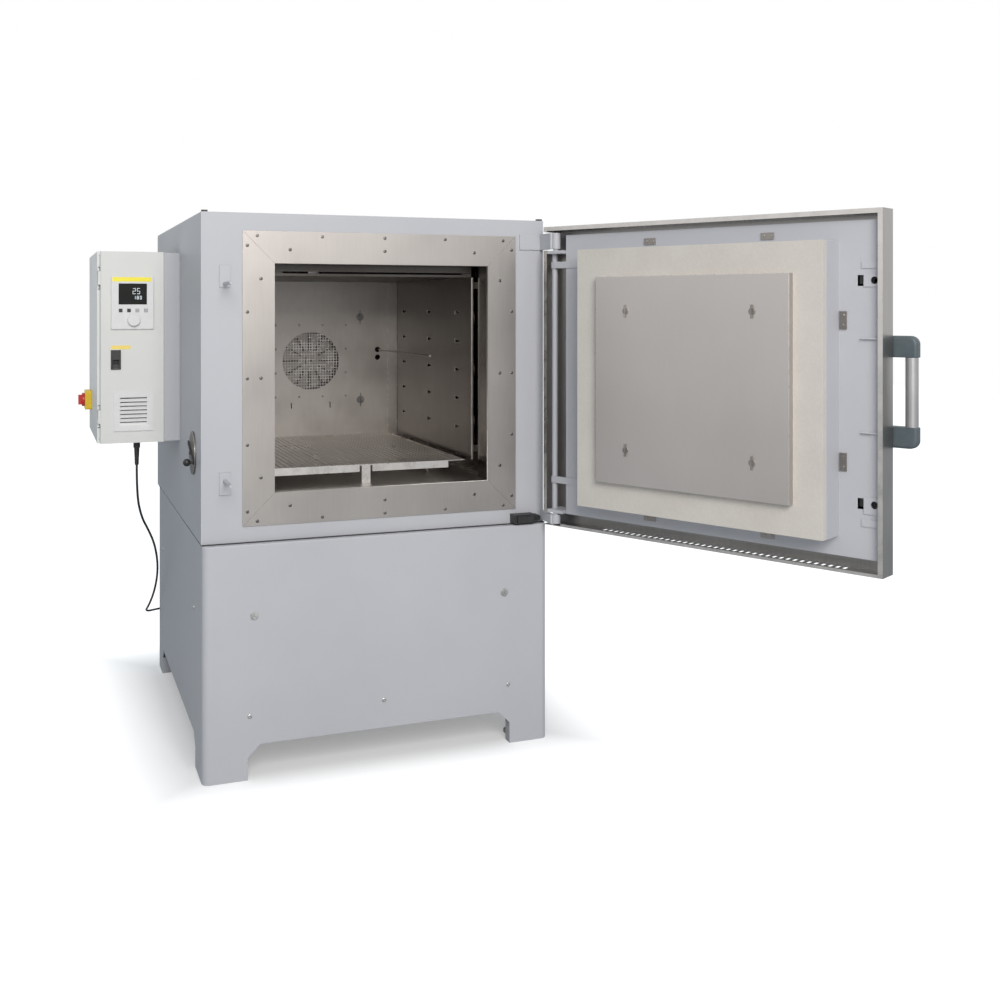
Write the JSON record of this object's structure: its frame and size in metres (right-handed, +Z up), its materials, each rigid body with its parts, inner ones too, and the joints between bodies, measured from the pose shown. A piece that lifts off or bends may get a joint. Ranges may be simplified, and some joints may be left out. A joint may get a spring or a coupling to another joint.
{
  "type": "forced convection furnace",
  "caption": "Floor-standing forced convection furnace on a sheet stand, with a side-hinged door standing open, a side control box and a perforated shelf.",
  "frame": {"origin": "on the floor, at the centre of the stand's four anchor holes", "axes": "+X to the right seen from the front, +Y from the door into the furnace, +Z up"},
  "size_m": [1.8192, 2.1714, 1.529],
  "materials": {
    "body_paint": "light grey powder coat",
    "stainless": "brushed",
    "stainless_dark": "heat-tinted, satin",
    "zinc_steel": "zinc plated",
    "fibre_board": "rough ceramic-fibre board",
    "box_paint": "pale grey powder coat",
    "black_plastic": "matt",
    "grey_plastic": "satin",
    "slate_plastic": "satin",
    "glass_black": "glossy",
    "yellow_plastic": "glossy",
    "red_plastic": "glossy",
    "rubber_black": "matt",
    "aluminium": "satin",
    "cast_motor": "painted"
  },
  "bodies": {
    "carcass": {"stand_panels": "body_paint", "stand_frame": "body_paint", "stand_locks": "zinc_steel", "stand_screws": "zinc_steel", "casing_sides": "body_paint", "casing_covers": "body_paint", "casing_back": "body_paint", "casing_front_sheet": "body_paint", "roof_caps": "black_plastic", "insulation": "fibre_board", "chamber_liner": "stainless_dark", "front_ring": "stainless", "ring_screws": "zinc_steel", "side_baffles": "stainless_dark", "ceiling_baffle": "stainless_dark", "back_baffle": "stainless_dark", "fan_guard": "stainless_dark", "guard_rivets": "zinc_steel", "heaters": "stainless_dark", "temperature_probe": "stainless", "floor_shelf": "stainless_dark", "fan_motor": "cast_motor", "exhaust_pipe": "stainless", "damper_plate": "zinc_steel", "hinge_brackets": "body_paint", "door_switch": "black_plastic", "latch_keepers": "body_paint", "box_bracket": "body_paint", "box_housing": "box_paint", "switch_plate": "yellow_plastic", "strain_relief": "rubber_black", "supply_lead": "rubber_black", "rear_gland": "black_plastic"},
    "fan": {"fan_wheel": "stainless_dark", "fan_shaft": "stainless"},
    "damper": {"damper_lever": "black_plastic"},
    "panel": {"box_panel": "box_paint", "controller": "grey_plastic", "screen": "glass_black", "rocker_frame": "grey_plastic", "vent": "grey_plastic"},
    "dial_body": {"dial": "grey_plastic"},
    "rocker_body": {"rocker": "black_plastic"},
    "switch_body": {"switch_handle": "red_plastic"},
    "door": {"door_shell": "stainless", "door_pan": "body_paint", "door_case": "body_paint", "door_block": "fibre_board", "door_plug": "stainless", "door_clips": "stainless", "door_hinges": "stainless", "handle_brackets": "slate_plastic", "handle_tube": "aluminium", "latch_plates": "body_paint"},
    "hook_upper": {"latch_hook_upper": "zinc_steel"},
    "hook_lower": {"latch_hook_lower": "zinc_steel"},
    "key_body_1": {"key_1": "slate_plastic"},
    "key_body_2": {"key_2": "slate_plastic"},
    "key_body_3": {"key_3": "slate_plastic"},
    "key_body_4": {"key_4": "slate_plastic"}
  },
  "joints": [
    {"name": "door_hinge", "type": "hinge", "parent": "carcass", "child": "door", "pos_m": [0.5034, -0.6131, 1.0755], "axis": [0, 0, 1], "range_deg": [-117.1, 2.9]},
    {"name": "fan_spin", "type": "hinge", "parent": "carcass", "child": "fan", "pos_m": [-0.006, 0.339, 1.079], "axis": [0, -1, 0], "continuous": true},
    {"name": "damper_turn", "type": "hinge", "parent": "carcass", "child": "damper", "pos_m": [-0.508, -0.378, 0.862], "axis": [1, 0, 0], "range_deg": [0, 90]},
    {"name": "panel_hinge", "type": "hinge", "parent": "carcass", "child": "panel", "pos_m": [-0.735, -0.038, 1.1475], "axis": [0, 0, -1], "range_deg": [0, 100]},
    {"name": "dial_turn", "type": "hinge", "parent": "panel", "child": "dial_body", "pos_m": [-0.636, -0.075, 1.23], "axis": [0, -1, 0], "continuous": true},
    {"name": "rocker_tip", "type": "hinge", "parent": "panel", "child": "rocker_body", "pos_m": [-0.6875, -0.058, 1.0965], "axis": [1, 0, 0], "range_deg": [-16, 0]},
    {"name": "main_switch_turn", "type": "hinge", "parent": "carcass", "child": "switch_body", "pos_m": [-0.754, 0.319, 0.965], "axis": [-1, 0, 0], "range_deg": [0, 90]},
    {"name": "hook_upper_swing", "type": "hinge", "parent": "door", "child": "hook_upper", "pos_m": [0.93728, -1.42498, 1.332], "axis": [-0.8902, -0.4555, 0], "range_deg": [0, 22], "stiffness_Nm_per_rad": 0.2, "springref_deg": -5.73},
    {"name": "hook_lower_swing", "type": "hinge", "parent": "door", "child": "hook_lower", "pos_m": [0.93728, -1.42498, 0.802], "axis": [-0.8902, -0.4555, 0], "range_deg": [0, 22], "stiffness_Nm_per_rad": 0.2, "springref_deg": -5.73},
    {"name": "key_1_press", "type": "slide", "parent": "panel", "child": "key_body_1", "axis": [0, 1, 0], "range_m": [0, 0.001], "stiffness_N_per_m": 400},
    {"name": "key_2_press", "type": "slide", "parent": "panel", "child": "key_body_2", "axis": [0, 1, 0], "range_m": [0, 0.001], "stiffness_N_per_m": 400},
    {"name": "key_3_press", "type": "slide", "parent": "panel", "child": "key_body_3", "axis": [0, 1, 0], "range_m": [0, 0.001], "stiffness_N_per_m": 400},
    {"name": "key_4_press", "type": "slide", "parent": "panel", "child": "key_body_4", "axis": [0, 1, 0], "range_m": [0, 0.001], "stiffness_N_per_m": 400}
  ]
}
